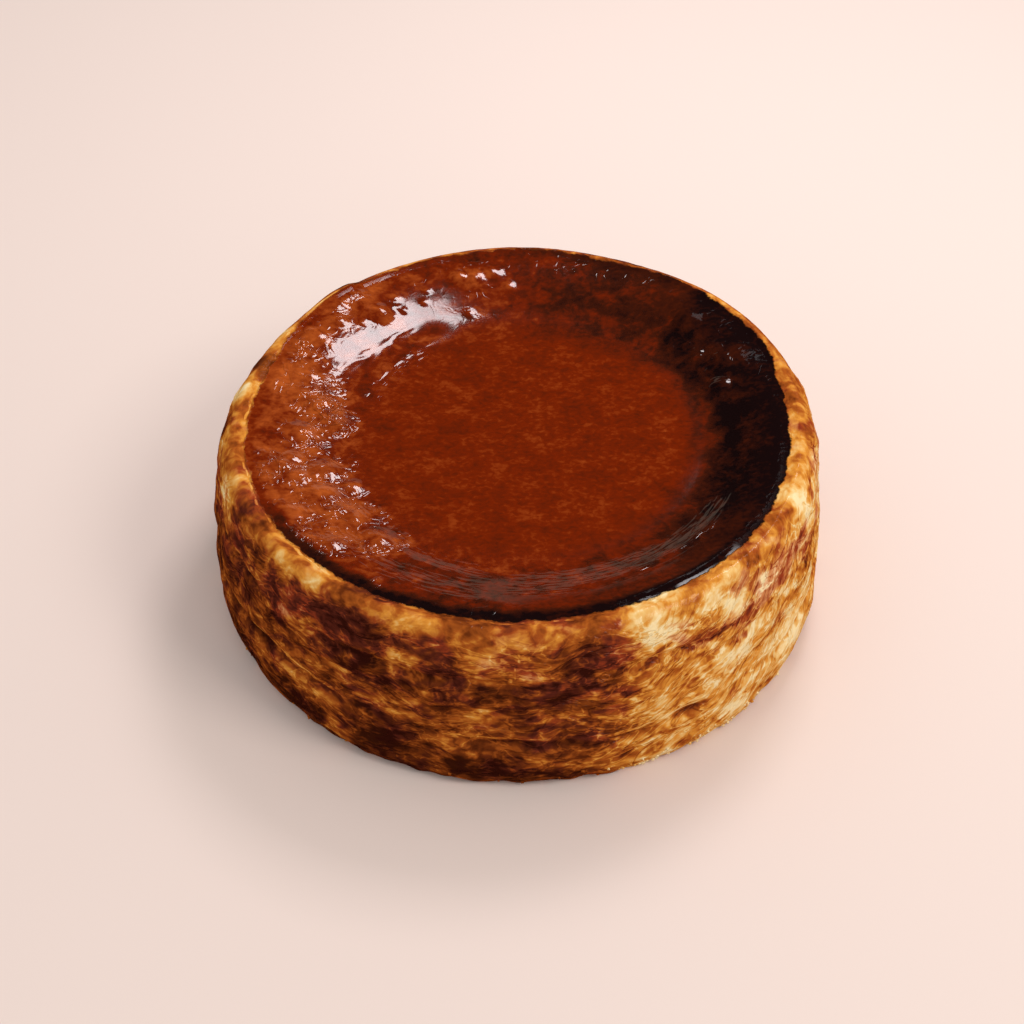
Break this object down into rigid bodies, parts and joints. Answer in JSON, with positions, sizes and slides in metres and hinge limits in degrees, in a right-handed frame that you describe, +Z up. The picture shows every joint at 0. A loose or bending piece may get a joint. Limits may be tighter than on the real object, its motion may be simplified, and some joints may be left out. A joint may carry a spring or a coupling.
{
  "type": "basque cheesecake",
  "caption": "Whole round burnt cheesecake with upright paper-creased sides, an uneven rim and a sunken dark caramelised top with low blisters.",
  "frame": {"origin": "middle of the flat base the cake rests on", "axes": "+Z up, front of the cake towards -Y, +X to the right"},
  "size_m": [0.2036, 0.2071, 0.064],
  "materials": {
    "baked_custard": "glossy caramelised skin on top, satin browned side"
  },
  "bodies": {
    "root": {"cheesecake": "baked_custard"}
  },
  "joints": []
}
